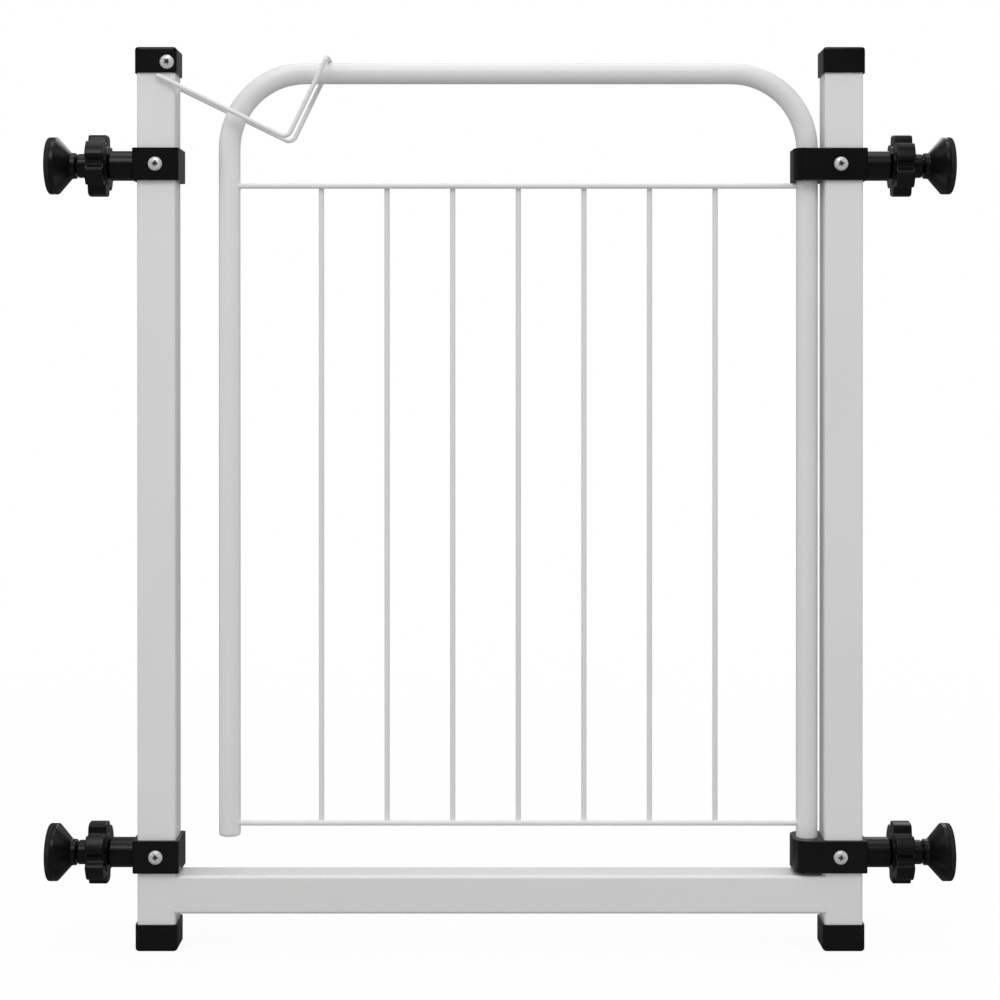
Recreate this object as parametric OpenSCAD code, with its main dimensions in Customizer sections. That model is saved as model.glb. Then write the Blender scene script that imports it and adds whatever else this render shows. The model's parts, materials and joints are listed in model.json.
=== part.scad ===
// Pressure-fit pet gate: a square-tube frame that is jacked between two walls, with a wire door
// that swings both ways and a wire loop that drops over the door's top tube to hold it shut.
// X is the gate's width, Y its depth (the front faces -Y) and Z is up.
// The origin is on the floor, midway between the walls and midway through the gate's depth.

/* [Gate] */
// Width over the four wall pads with the adjusters wound in
gate_w = 714; // [640:1:900]
// Height from the floor to the top of the post caps
gate_h = 710; // [560:1:1000]

/* [Posts and rail] */
// Outside width of the square posts and of the bottom rail
post_w = 30; // [26:0.5:36]
// Wall of the square tube
post_wall = 1.2; // [0.8:0.1:2]
// Outside corner radius of the square tube
post_corner = 2.5; // [1.5:0.25:4]
// Clear height under the bottom rail
rail_clear = 29.2; // [24:0.1:60]

/* [Post caps] */
// Height of a top cap
cap_h = 20.4; // [14:0.1:30]
// Height of a foot cap
foot_h = 21; // [14:0.5:23]
// Side wall of a cap
cap_wall = 1.35; // [1:0.05:2.2]
// End wall of a cap
cap_end = 3; // [2:0.25:5]
// Gap all round between a cap and its post
cap_gap = 0.15; // [0.05:0.05:0.3]
// Rounding of a cap's end edges and upright corners
cap_round = 2.2; // [1:0.1:3]

/* [Brackets] */
// Height of a bracket
bracket_h = 25.5; // [22:0.5:32]
// Wall of a bracket round its post
bracket_wall = 3.15; // [2.4:0.05:4]
// Gap all round between a bracket and its post
bracket_gap = 0.15; // [0.05:0.05:0.3]
// Rounding of a bracket's edges
bracket_round = 1; // [0.5:0.1:2]
// Space between the bottom rail and the lower brackets
bracket_lift = 2.6; // [1:0.1:20]
// Diameter of the round boss that carries an adjuster
boss_d = 23.5; // [20:0.5:25]
// Length of the boss
boss_l = 20.7; // [16:0.1:30]
// Chamfer at the boss's free end
boss_chamfer = 2; // [0.5:0.25:3]

/* [Door] */
// Outside diameter of the door's tube
tube_d = 17; // [14:0.5:20]
// Wall of the door's tube
tube_wall = 1.2; // [0.8:0.1:2]
// Radius of the door's top bends, on the tube's centre line
tube_bend = 60; // [45:1:80]
// Drop from the top of the post caps to the top of the door
door_drop = 10.3; // [8:0.1:40]
// Gap between the latch post and the door's free leg
latch_gap = 32.5; // [26:0.5:45]
// Gap between the hinge post and the door's hinge leg
hinge_gap = 3.5; // [3:0.1:6]
// Straight tube left between a top bend and the upper hinge bracket
bend_gap = 0.45; // [0.3:0.05:5]
// Diameter of the door's wires
wire_d = 4.2; // [3:0.1:6]
// Distance between the centres of neighbouring bars
bar_pitch = 52; // [40:1:56]
// How deep a bar sinks into a crossbar at its weld
weld_sink = 0.5; // [0.2:0.1:0.8]
// How far a bar's end reaches past the centre of its crossbar
bar_end = 1.6; // [0.5:0.1:2]
// Space between the upper hinge bracket and the top crossbar
top_crossbar_gap = 1.2; // [0.6:0.1:6]
// Space between the lower hinge bracket and the bottom crossbar
bottom_crossbar_gap = 8.6; // [2:0.1:20]
// Length of the free leg under the centre of the bottom crossbar
leg_tail = 10; // [7:0.5:20]

/* [Hinge] */
// Plastic left beyond the hinge leg at a hinge bracket's round end
ring_wall = 3.8; // [3:0.1:7]
// Radius of the upright corners at that round end
end_round = 11.5; // [6:0.5:15]
// Running gap between the hinge leg and its bores, on the radius
hinge_run = 0.08; // [0.05:0.01:0.1]
// Floor of the lower bore, which carries the door
cup_floor = 4; // [2.5:0.25:6]
// Gap between the hinge leg's plug and that floor
floor_gap = 0.2; // [0.1:0.05:0.3]
// Lead-in chamfer at a bore's mouth
ring_chamfer = 0.6; // [0.3:0.1:1]

/* [Tube plugs] */
// Thickness of the plug that shows under a leg
plug_head = 2.5; // [1.5:0.25:4]
// Length of plug inside the leg
plug_l = 12; // [6:0.5:20]
// Gap between a plug and the inside of its leg, on the radius
plug_gap = 0.1; // [0.05:0.05:0.2]
// Rounding of a plug's lower edge
plug_round = 2; // [0.5:0.25:2.25]

/* [Latch] */
// Diameter of the latch wire
latch_d = 3.6; // [3:0.1:5]
// Gap between the latch arms and the sides of the top cap
latch_side_gap = 0.6; // [0.4:0.1:2]
// Gap between the latch pivot and the cap above it
latch_cap_gap = 0.4; // [0.3:0.1:6]
// Offset of the latch pivot from the post's centre, towards the door
pivot_offset = 1.8; // [0:0.1:5]
// How far the pivot ends reach inside the post's wall
pivot_reach = 2; // [1:0.25:6]
// Running gap round the pivot ends, on the radius
pivot_run = 0.06; // [0.05:0.01:0.1]
// Distance along the door's top from the end of its bend to the latch's crossbar
latch_seat = 18.7; // [8:0.1:40]
// Gap between the latch's crossbar and the door's top tube at rest
latch_rest = 0.25; // [0.1:0.05:0.3]
// Length of the latch's riser, from the elbow up to the crossbar
riser_l = 70.9; // [55:0.1:80]
// Bend radius of the elbow, on the wire's centre line
elbow_bend = 9; // [5:0.5:16]
// Bend radius of the crossbar's and the pivots' corners, on the wire's centre line
corner_bend = 3.7; // [3:0.1:4]

/* [Screws] */
// Diameter of a screw's head
screw_head_d = 11; // [9:0.25:13]
// Height of a screw's head
screw_head_h = 2.8; // [2:0.1:4]
// Rounding of the head's rim
screw_head_round = 1.9; // [0.5:0.1:1.9]
// Diameter of a screw's shank
screw_d = 3.9; // [3:0.1:5]
// Length of a screw's shank with its point
screw_l = 12; // [8:0.5:20]
// Length of the shank's point
screw_tip = 3; // [1:0.25:5]
// Gap round a screw's shank, on the radius
screw_gap = 0.15; // [0.05:0.05:0.3]
// Length of each slot of the cross recess
recess_l = 5; // [3:0.25:6]
// Width of each slot of the cross recess
recess_w = 1.2; // [0.8:0.1:1.6]
// Depth of the cross recess
recess_depth = 1.5; // [0.8:0.1:2]
// Drop from the top of the cap to the latch's stop screw
stop_drop = 12; // [9:0.25:13]
// Offset of the stop screw from the post's centre, towards the door
stop_offset = 9; // [8:0.25:9.5]
// Offset of the hinge brackets' screws from the post's centre, towards the door
hinge_screw_offset = 3; // [0:0.25:6]

/* [Hand nuts] */
// Diameter over the hand nut's lobes
nut_d = 48.7; // [40:0.5:60]
// Width of the lobed wheel
nut_w = 15; // [10:0.5:20]
// Diameter of the hub on the wall side
hub_d = 19; // [17:0.5:26]
// Length of the hub
hub_l = 7.5; // [4:0.25:12]
// Diameter of the thrust flange on the boss side
flange_d = 30; // [26:0.5:36]
// Thickness of the thrust flange
flange_t = 1.7; // [1:0.1:3]
// Radius of the notches between the lobes
notch_r = 4.6; // [3:0.2:6]
// Depth of the notches
notch_depth = 5; // [3:0.25:7]
// Chamfer round the lobes' edges
lobe_chamfer = 1.6; // [0.5:0.1:3]
// Gap between the thrust flange and the boss
thrust_gap = 0.3; // [0.1:0.05:0.3]

/* [Spindles and wall cups] */
// Outside diameter of the spindle's thread
spindle_d = 12; // [9:0.5:14]
// Gap between the thread and the nut, on the radius
thread_gap = 0.1; // [0.05:0.05:0.15]
// Gap between the spindle and the boss's bore, on the radius
bore_gap = 0.3; // [0.15:0.05:0.5]
// Gap between the spindle's inner end and the post
spindle_back_gap = 1; // [0.5:0.1:3]
// Gap between the hub and the cup with the adjuster wound in
cup_gap = 1.5; // [0.5:0.1:5]
// Diameter of the cup's collar
collar_d = 20.5; // [18.5:0.5:26]
// Length of the collar
collar_l = 3.6; // [2:0.1:8]
// Diameter of the cup's rim and of the wall pad
rim_d = 45; // [38:0.5:56]
// Length of the cup's cone
cone_l = 11.1; // [8.5:0.1:18]
// Width of the cup's rim
rim_w = 3.3; // [3:0.1:6]
// Wall of the cup
cup_wall = 3; // [2:0.25:4]
// Depth of the cup's socket for the spindle
socket_l = 10; // [7:0.5:11]
// Gap between the spindle and the cup's socket, on the radius
socket_gap = 0.05; // [0.03:0.01:0.1]
// Thickness of the wall pad outside the cup
pad_t = 4; // [2.5:0.25:6]
// Depth of the wall pad's seat inside the cup's rim
pad_seat = 2.5; // [1.5:0.25:2.75]
// Gap between the wall pad and its seat
pad_gap = 0.1; // [0.05:0.05:0.2]
// Rounding of the wall pad's outer edge
pad_round = 1.5; // [0.5:0.1:2]
// Width of the grip grooves in the wall pad
groove_w = 1.5; // [0.8:0.1:2]
// Depth of the grip grooves
groove_depth = 0.8; // [0.4:0.1:1.2]

/* [Hidden] */
$fn = 64;

// Colours
paint = "whitesmoke";
white_plastic = "white";
black_plastic = [0.13, 0.13, 0.13];
rubber = [0.08, 0.08, 0.08];
zinc = "silver";

// Stations along an adjuster, measured outwards from the post's outer face
boss_start = bracket_gap + bracket_wall;
boss_stop = boss_start + boss_l;
nut_start = boss_stop + thrust_gap;
wheel_start = nut_start + flange_t;
hub_start = wheel_start + nut_w;
hub_stop = hub_start + hub_l;
cup_start = hub_stop + cup_gap;
cup_stop = cup_start + collar_l + cone_l + rim_w;
reach = cup_stop + pad_t;

// The frame
post_x = gate_w / 2 - reach - post_w / 2;
post_bottom = cap_end;
post_top = gate_h - cap_end;
cap_w = post_w + 2 * (cap_gap + cap_wall);
rail_z = rail_clear + post_w / 2;
sleeve_w = post_w + 2 * (bracket_gap + bracket_wall);

// The door's tube: an arch with its free leg near the latch post
free_x = -post_x + post_w / 2 + latch_gap + tube_d / 2;
hinge_x = post_x - post_w / 2 - hinge_gap - tube_d / 2;
tube_top = gate_h - door_drop - tube_d / 2;

// The brackets' middle heights: the upper ones lie just under the door's bends
upper_z = tube_top - tube_bend - bend_gap - bracket_h / 2;
lower_z = rail_clear + post_w + bracket_lift + bracket_h / 2;
ring_r = tube_d / 2 + hinge_run + ring_wall;

// The door's wires: the crossbars lie in front of the bars
top_wire_z = upper_z - bracket_h / 2 - top_crossbar_gap - wire_d / 2;
bottom_wire_z = lower_z + bracket_h / 2 + bottom_crossbar_gap + wire_d / 2;
wire_y = (wire_d - weld_sink) / 2;
BARS = 7;

// Where the two legs end, and the plugs' undersides
free_leg_end = bottom_wire_z - leg_tail + plug_head;
hinge_leg_end = lower_z - bracket_h / 2 + cup_floor + floor_gap + plug_head;

// The latch, with its crossbar on the door's top tube
pivot = [-post_x + pivot_offset, 0, gate_h - cap_h - latch_cap_gap - latch_d / 2];
latch_y = cap_w / 2 + latch_side_gap + latch_d / 2;
latch_top = [free_x + tube_bend + latch_seat, 0, tube_top + tube_d / 2 + latch_rest + latch_d / 2];
latch_span = norm(latch_top - pivot);
arm_l = sqrt(pow(latch_span, 2) - pow(riser_l, 2));
arm_angle = atan2(latch_top.z - pivot.z, latch_top.x - pivot.x) - asin(riser_l / latch_span);
pivot_end = post_w / 2 - post_wall - pivot_reach;

// Square with rounded corners, centred
module rounded_square(w, d, r) {
    square([w - 2 * r, d], center = true);
    square([w, d - 2 * r], center = true);
    for (x = [-1, 1], y = [-1, 1])
        translate([x * (w / 2 - r), y * (d / 2 - r)]) circle(r);
}

// Block from z = 0 up with every edge rounded, except the top ones where flat_top is set
module rounded_block(w, h, corner, edge, flat_top = false) {
    side_h = flat_top ? h + 2 * edge : h;
    intersection() {
        linear_extrude(h) rounded_square(w, w, corner);
        for (turn = [0, 90])
            rotate(turn) translate([0, w / 2, side_h / 2]) rotate([90, 0, 0])
                linear_extrude(w) rounded_square(w, side_h, edge);
    }
}

// Section of the square tube
module tube_section() {
    difference() {
        rounded_square(post_w, post_w, post_corner);
        rounded_square(post_w - 2 * post_wall, post_w - 2 * post_wall, max(post_corner - post_wall, 0.4));
    }
}

// Rod of radius r, bent as a bending machine does it. It starts at the origin along +Z, and each
// step is [feed, turn, bend radius, roll]: roll about its own axis, feed forwards, turn towards +X.
module bent_rod(steps, r, i = 0) {
    feed = steps[i][0];
    turn = steps[i][1];
    bend = steps[i][2];
    rotate(steps[i][3]) {
        cylinder(r = r, h = feed);
        if (turn > 0) translate([0, 0, feed]) {
            translate([bend, 0, 0]) rotate([90, 0, 0]) rotate(180 - turn)
                rotate_extrude(angle = turn) translate([bend, 0]) circle(r);
            if (i + 1 < len(steps))
                translate([bend * (1 - cos(turn)), 0, bend * sin(turn)]) rotate([0, turn, 0])
                    bent_rod(steps, r, i + 1);
        }
    }
}

// Places children with their +Z pointing outwards from the post's outer face; side is -1 or 1
module adjuster(side, z) {
    translate([side * (post_x + post_w / 2), 0, z]) rotate([0, side * 90, 0]) children();
}

// Places children with their +Z pointing into a face of the gate's front at depth y
module from_front(x, y, z) {
    translate([x, -y, z]) rotate([-90, 0, 0]) children();
}

// Clearance hole for a screw, from the front face at depth y
module screw_hole(x, y, z) {
    from_front(x, y + 1, z) cylinder(d = screw_d + 2 * screw_gap, h = screw_l);
}

// Pan-head screw with a cross recess, its head against the front face at depth y
module screw(x, y, z) {
    color(zinc) from_front(x, y, z) {
        difference() {
            translate([0, 0, -screw_head_h]) rotate_extrude() {
                translate([0, screw_head_round]) square([screw_head_d / 2, screw_head_h - screw_head_round]);
                square([screw_head_d / 2 - screw_head_round, screw_head_h]);
                intersection() {
                    translate([screw_head_d / 2 - screw_head_round, screw_head_round]) circle(screw_head_round);
                    square([screw_head_d / 2, screw_head_h]);
                }
            }
            for (a = [0, 90])
                rotate(a) translate([-recess_l / 2, -recess_w / 2, -screw_head_h - 1])
                    cube([recess_l, recess_w, recess_depth + 1]);
        }
        cylinder(d = screw_d, h = screw_l - screw_tip);
        translate([0, 0, screw_l - screw_tip]) cylinder(d1 = screw_d, d2 = 0.4, h = screw_tip);
    }
}

module left_post() {
    color(paint) difference() {
        translate([-post_x, 0, post_bottom]) linear_extrude(post_top - post_bottom) tube_section();
        screw_hole(-post_x + stop_offset, post_w / 2, gate_h - stop_drop);
        for (z = [lower_z, upper_z]) screw_hole(-post_x, post_w / 2, z);
        translate([pivot.x, post_w, pivot.z]) rotate([90, 0, 0])
            cylinder(r = latch_d / 2 + pivot_run, h = 2 * post_w);
    }
}

module right_post() {
    color(paint) difference() {
        translate([post_x, 0, post_bottom]) linear_extrude(post_top - post_bottom) tube_section();
        for (z = [lower_z, upper_z]) screw_hole(post_x - hinge_screw_offset, post_w / 2, z);
    }
}

module bottom_rail() {
    rail_l = 2 * post_x - post_w;
    color(paint) translate([-rail_l / 2, 0, rail_z]) rotate([90, 0, 90]) linear_extrude(rail_l) tube_section();
}

// Cap that sleeves over the end of a post, standing on its closed end
module cap(h) {
    difference() {
        rounded_block(cap_w, h, cap_round + cap_wall, cap_round, flat_top = true);
        translate([0, 0, cap_end]) linear_extrude(h)
            rounded_square(post_w + 2 * cap_gap, post_w + 2 * cap_gap, post_corner);
    }
}

module left_top_cap() {
    color(black_plastic) difference() {
        translate([-post_x, 0, gate_h]) mirror([0, 0, 1]) cap(cap_h);
        screw_hole(-post_x + stop_offset, cap_w / 2, gate_h - stop_drop);
    }
}

module right_top_cap() {
    color(black_plastic) translate([post_x, 0, gate_h]) mirror([0, 0, 1]) cap(cap_h);
}

module foot_cap(side) {
    color(black_plastic) translate([side * post_x, 0, 0]) cap(foot_h);
}

// Round boss that carries an adjuster, before it is bored
module boss(side, z) {
    adjuster(side, z) {
        cylinder(d = boss_d, h = boss_stop - boss_chamfer);
        translate([0, 0, boss_stop - boss_chamfer])
            cylinder(d1 = boss_d, d2 = boss_d - 2 * boss_chamfer, h = boss_chamfer);
    }
}

// What is cut from every bracket: the post's passage and the spindle's bore
module bracket_cuts(side, z) {
    translate([side * post_x, 0, z - bracket_h]) linear_extrude(2 * bracket_h)
        rounded_square(post_w + 2 * bracket_gap, post_w + 2 * bracket_gap, post_corner);
    adjuster(side, z) cylinder(r = spindle_d / 2 + bore_gap, h = boss_stop + 1);
}

module left_bracket(z) {
    color(black_plastic) difference() {
        union() {
            translate([-post_x, 0, z - bracket_h / 2])
                rounded_block(sleeve_w, bracket_h, 2 * bracket_round, bracket_round);
            boss(-1, z);
        }
        bracket_cuts(-1, z);
        screw_hole(-post_x, sleeve_w / 2, z);
    }
}

// Plan of a hinge bracket: a post's sleeve carried on to a round end beyond the hinge leg
module hinge_plan() {
    half = sleeve_w / 2;
    corner = 2 * bracket_round;
    nose = hinge_x - ring_r;
    heel = post_x + half;
    translate([nose + end_round, -half]) square([heel - corner - nose - end_round, sleeve_w]);
    translate([nose, end_round - half]) square([heel - nose - corner, sleeve_w - 2 * end_round]);
    translate([nose + end_round, corner - half])
        square([heel - nose - end_round, sleeve_w - 2 * corner]);
    for (y = [-1, 1]) {
        translate([nose + end_round, y * (half - end_round)]) circle(end_round);
        translate([heel - corner, y * (half - corner)]) circle(corner);
    }
}

// Block over that plan, with its upper and lower edges rounded
module hinge_block() {
    nose = hinge_x - ring_r;
    heel = post_x + sleeve_w / 2;
    intersection() {
        linear_extrude(bracket_h) hinge_plan();
        translate([(nose + heel) / 2, sleeve_w / 2, bracket_h / 2]) rotate([90, 0, 0])
            linear_extrude(sleeve_w) rounded_square(heel - nose, bracket_h, bracket_round);
        translate([nose, 0, bracket_h / 2]) rotate([90, 0, 90])
            linear_extrude(heel - nose) rounded_square(sleeve_w, bracket_h, bracket_round);
    }
}

// Hinge bracket; floor is the thickness left under the hinge leg, or 0 for an open bore
module hinge_bracket(z, floor) {
    low = z - bracket_h / 2;
    high = z + bracket_h / 2;
    bore_r = tube_d / 2 + hinge_run;
    color(black_plastic) difference() {
        union() {
            translate([0, 0, low]) hinge_block();
            boss(1, z);
        }
        bracket_cuts(1, z);
        screw_hole(post_x - hinge_screw_offset, sleeve_w / 2, z);
        translate([hinge_x, 0, floor > 0 ? low + floor : low - 1]) cylinder(r = bore_r, h = 2 * bracket_h);
        translate([hinge_x, 0, high - ring_chamfer])
            cylinder(r1 = bore_r, r2 = bore_r + 2 * ring_chamfer, h = 2 * ring_chamfer);
        if (floor == 0) translate([hinge_x, 0, low - ring_chamfer])
            cylinder(r1 = bore_r + 2 * ring_chamfer, r2 = bore_r, h = 2 * ring_chamfer);
    }
}

// The door's arch as a solid rod of radius r
module arch(r) {
    translate([free_x, 0, free_leg_end]) bent_rod([
        [tube_top - tube_bend - free_leg_end, 90, tube_bend, 0],
        [hinge_x - free_x - 2 * tube_bend, 90, tube_bend, 0],
        [tube_top - tube_bend - hinge_leg_end, 0, 0, 0]
    ], r);
}

module door_tube() {
    color(paint) difference() {
        arch(tube_d / 2);
        arch(tube_d / 2 - tube_wall);
    }
}

// Place of bar i, counted from the free leg
function bar_x(i) = (free_x + hinge_x) / 2 + (i - (BARS + 1) / 2) * bar_pitch;

module bar(i) {
    color(paint) translate([bar_x(i), wire_y, bottom_wire_z - bar_end])
        cylinder(d = wire_d, h = top_wire_z - bottom_wire_z + 2 * bar_end);
}

// Crossbar, coped to both legs and saddled where the bars are welded to it
module crossbar(z) {
    color(paint) difference() {
        translate([free_x, -wire_y, z]) rotate([0, 90, 0]) cylinder(d = wire_d, h = hinge_x - free_x);
        for (x = [free_x, hinge_x])
            translate([x, 0, z - tube_d]) cylinder(d = tube_d, h = 2 * tube_d);
        for (i = [1:BARS]) bar(i);
    }
}

// Plug with its head under a leg that ends at height z
module leg_plug(x, z) {
    color(white_plastic) translate([x, 0, z]) {
        translate([0, 0, -plug_head]) rotate_extrude() {
            translate([0, plug_round]) square([tube_d / 2, plug_head - plug_round]);
            square([tube_d / 2 - plug_round, plug_head]);
            intersection() {
                translate([tube_d / 2 - plug_round, plug_round]) circle(plug_round);
                square([tube_d / 2, plug_head]);
            }
        }
        cylinder(r = tube_d / 2 - tube_wall - plug_gap, h = plug_l);
    }
}

// One wire, from its pivot end in the post's front round to the one in the post's back
module latch_loop() {
    pin = latch_y - pivot_end - corner_bend;
    arm = arm_l - corner_bend - elbow_bend;
    riser = riser_l - elbow_bend - corner_bend;
    color(paint) translate([pivot.x, -pivot_end, pivot.z]) rotate([90, 0, 0]) bent_rod([
        [pin, 90, corner_bend, arm_angle],
        [arm, 90, elbow_bend, 90],
        [riser, 90, corner_bend, -90],
        [2 * (latch_y - corner_bend), 90, corner_bend, 0],
        [riser, 90, elbow_bend, 90],
        [arm, 90, corner_bend, -90],
        [pin, 0, 0, 0]
    ], latch_d / 2);
}

module spindle(side, z) {
    color(black_plastic) adjuster(side, z) translate([0, 0, spindle_back_gap])
        cylinder(d = spindle_d, h = cup_start + socket_l - spindle_back_gap);
}

module hand_nut(side, z) {
    chamfer = min(lobe_chamfer, nut_w / 3);
    hub_chamfer = hub_l / 6;
    hub_fillet = hub_l / 5;
    color(black_plastic) adjuster(side, z) difference() {
        union() {
            intersection() {
                rotate_extrude() polygon([
                    [0, wheel_start], [nut_d / 2 - chamfer, wheel_start],
                    [nut_d / 2, wheel_start + chamfer], [nut_d / 2, hub_start - chamfer],
                    [nut_d / 2 - chamfer, hub_start], [0, hub_start]
                ]);
                linear_extrude(hub_stop) difference() {
                    circle(d = nut_d);
                    for (a = [30:60:330]) rotate(a) {
                        translate([nut_d / 2 - notch_depth + notch_r, 0]) circle(notch_r);
                        translate([nut_d / 2 - notch_depth + notch_r, -notch_r])
                            square([notch_depth, 2 * notch_r]);
                    }
                }
            }
            rotate_extrude() polygon([
                [0, nut_start], [flange_d / 2, nut_start], [flange_d / 2, wheel_start],
                [flange_d / 2, hub_start], [hub_d / 2 + hub_fillet, hub_start],
                [hub_d / 2, hub_start + hub_fillet], [hub_d / 2, hub_stop - hub_chamfer],
                [hub_d / 2 - hub_chamfer, hub_stop], [0, hub_stop]
            ]);
        }
        translate([0, 0, nut_start - 1]) cylinder(r = spindle_d / 2 + thread_gap, h = hub_stop);
    }
}

module cup(side, z) {
    rim_r = rim_d / 2;
    cone_stop = cup_start + collar_l + cone_l;
    seat_z = cup_stop - pad_seat;
    floor_z = cup_start + socket_l + cup_wall / 2;
    // The cone's slope sets how wide the hollow is at its floor
    slope = (rim_r - collar_d / 2) / cone_l;
    hollow_r = rim_r - cup_wall;
    color(black_plastic) adjuster(side, z) difference() {
        rotate_extrude() polygon([
            [0, cup_start], [collar_d / 2 - 0.6, cup_start], [collar_d / 2, cup_start + 0.6],
            [collar_d / 2, cup_start + collar_l], [rim_r, cone_stop], [rim_r, cup_stop], [0, cup_stop]
        ]);
        rotate_extrude() polygon([
            [0, floor_z], [hollow_r - slope * (seat_z - floor_z), floor_z],
            [hollow_r, seat_z], [hollow_r, cup_stop + 1], [0, cup_stop + 1]
        ]);
        translate([0, 0, cup_start - 1]) cylinder(r = spindle_d / 2 + socket_gap, h = socket_l + 1);
    }
}

module wall_pad(side, z) {
    pad_r = rim_d / 2;
    plug_r = pad_r - cup_wall - pad_gap;
    color(rubber) adjuster(side, z) difference() {
        rotate_extrude() {
            translate([0, cup_stop - pad_seat + pad_gap]) square([plug_r, pad_seat - pad_gap]);
            translate([0, cup_stop]) square([pad_r, pad_t - pad_round]);
            translate([0, cup_stop]) square([pad_r - pad_round, pad_t]);
            translate([pad_r - pad_round, reach - pad_round]) intersection() {
                circle(pad_round);
                square(pad_round);
            }
        }
        for (r = [pad_r / 3, pad_r * 2 / 3])
            rotate_extrude() translate([r - groove_w / 2, reach - groove_depth]) square([groove_w, 1]);
    }
}

left_post();
right_post();
bottom_rail();
left_top_cap();
right_top_cap();
foot_cap(-1);  // left_foot_cap
foot_cap(1);  // right_foot_cap
left_bracket(upper_z);  // upper_left_bracket
left_bracket(lower_z);  // lower_left_bracket
hinge_bracket(upper_z, 0);  // upper_hinge_bracket
hinge_bracket(lower_z, cup_floor);  // lower_hinge_bracket
screw(-post_x + stop_offset, cap_w / 2, gate_h - stop_drop);  // latch_stop_screw
screw(-post_x, sleeve_w / 2, upper_z);  // upper_left_bracket_screw
screw(-post_x, sleeve_w / 2, lower_z);  // lower_left_bracket_screw
screw(post_x - hinge_screw_offset, sleeve_w / 2, upper_z);  // upper_hinge_bracket_screw
screw(post_x - hinge_screw_offset, sleeve_w / 2, lower_z);  // lower_hinge_bracket_screw
door_tube();
crossbar(top_wire_z);  // top_crossbar
crossbar(bottom_wire_z);  // bottom_crossbar
bar(1);  // bar_1
bar(2);  // bar_2
bar(3);  // bar_3
bar(4);  // bar_4
bar(5);  // bar_5
bar(6);  // bar_6
bar(7);  // bar_7
leg_plug(free_x, free_leg_end);  // door_leg_plug
leg_plug(hinge_x, hinge_leg_end);  // hinge_leg_plug
latch_loop();
spindle(-1, upper_z);  // upper_left_spindle
cup(-1, upper_z);  // upper_left_cup
wall_pad(-1, upper_z);  // upper_left_wall_pad
hand_nut(-1, upper_z);  // upper_left_hand_nut
spindle(-1, lower_z);  // lower_left_spindle
cup(-1, lower_z);  // lower_left_cup
wall_pad(-1, lower_z);  // lower_left_wall_pad
hand_nut(-1, lower_z);  // lower_left_hand_nut
spindle(1, upper_z);  // upper_right_spindle
cup(1, upper_z);  // upper_right_cup
wall_pad(1, upper_z);  // upper_right_wall_pad
hand_nut(1, upper_z);  // upper_right_hand_nut
spindle(1, lower_z);  // lower_right_spindle
cup(1, lower_z);  // lower_right_cup
wall_pad(1, lower_z);  // lower_right_wall_pad
hand_nut(1, lower_z);  // lower_right_hand_nut
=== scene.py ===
"""Pressure-fit pet gate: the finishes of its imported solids, the welds, threads, screws and moulded
parts that dress them, and a plain studio stage. Run as a script in an empty scene."""

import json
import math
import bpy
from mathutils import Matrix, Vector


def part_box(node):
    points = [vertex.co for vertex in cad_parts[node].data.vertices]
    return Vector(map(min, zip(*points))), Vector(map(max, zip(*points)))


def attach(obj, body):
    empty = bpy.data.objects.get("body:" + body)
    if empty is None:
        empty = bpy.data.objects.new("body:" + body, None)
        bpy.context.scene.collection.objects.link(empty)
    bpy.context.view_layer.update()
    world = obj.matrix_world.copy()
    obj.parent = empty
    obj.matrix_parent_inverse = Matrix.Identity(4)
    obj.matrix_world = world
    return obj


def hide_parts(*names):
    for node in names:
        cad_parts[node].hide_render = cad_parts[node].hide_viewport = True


bl_info = {
    "name": "Pet Gate",
    "version": (1, 0, 0),
    "blender": (4, 5, 0),
    "location": "3D View > Sidebar > Pet Gate",
    "description": "Paints, welds, threads and lights the pressure-fit pet gate",
    "category": "Object",
}

import bmesh
import bpy
from bpy.props import FloatProperty, FloatVectorProperty, IntProperty, PointerProperty
from bpy.types import Operator, Panel, PropertyGroup
from mathutils import Matrix, Vector

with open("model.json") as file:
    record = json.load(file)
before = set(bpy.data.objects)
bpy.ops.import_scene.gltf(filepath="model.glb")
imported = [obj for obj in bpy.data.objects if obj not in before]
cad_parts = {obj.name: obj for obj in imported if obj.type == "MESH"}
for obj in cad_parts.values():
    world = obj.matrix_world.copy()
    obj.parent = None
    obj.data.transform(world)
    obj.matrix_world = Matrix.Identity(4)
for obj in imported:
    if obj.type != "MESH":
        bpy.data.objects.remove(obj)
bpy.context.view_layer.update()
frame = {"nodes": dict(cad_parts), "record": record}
CORNERS = ("upper_left", "lower_left", "upper_right", "lower_right")
TUBES = ("left_post", "right_post", "bottom_rail", "door_tube")
CROSSBARS = ("top_crossbar", "bottom_crossbar")
BARS = tuple(f"bar_{i}" for i in range(1, 8))
CAPS = ("left_top_cap", "right_top_cap", "left_foot_cap", "right_foot_cap")
BRACKETS = ("upper_left_bracket", "lower_left_bracket", "upper_hinge_bracket", "lower_hinge_bracket")
SCREWS = ("latch_stop_screw",) + tuple(f"{bracket}_screw" for bracket in BRACKETS)
PLUGS = ("door_leg_plug", "hinge_leg_plug")
TUBE_CORNER = 0.0025  # Radius of the square tubes' corners
STRIP = 0.0002  # Width of the narrow faces beside a rounding, which keep the large faces next to them flat
SEAM = 2e-6  # Points of a grown piece that lie closer together than this become one
EDGE_STEPS = 5  # Faces across a rounded edge of a turned piece
THREAD_STEPS = 16  # Steps along a spindle in one turn of its thread
CAP_STEP = 10  # Degrees between the points of a cap's roundings
BEAD_STEP = 15  # Degrees between the points of a weld bead's bends
RIPPLE_STEPS = 6  # Rings of a weld bead in one of its ripples
HEAD_GRID = (65, 25)  # Points round a screw's head and from its middle to its underside
SHANK_GRID = (21, 91)  # Points round a screw's shank and along it
SKIN_SHARP = math.radians(12)  # Edges of a skinned piece over this angle are hard


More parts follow.
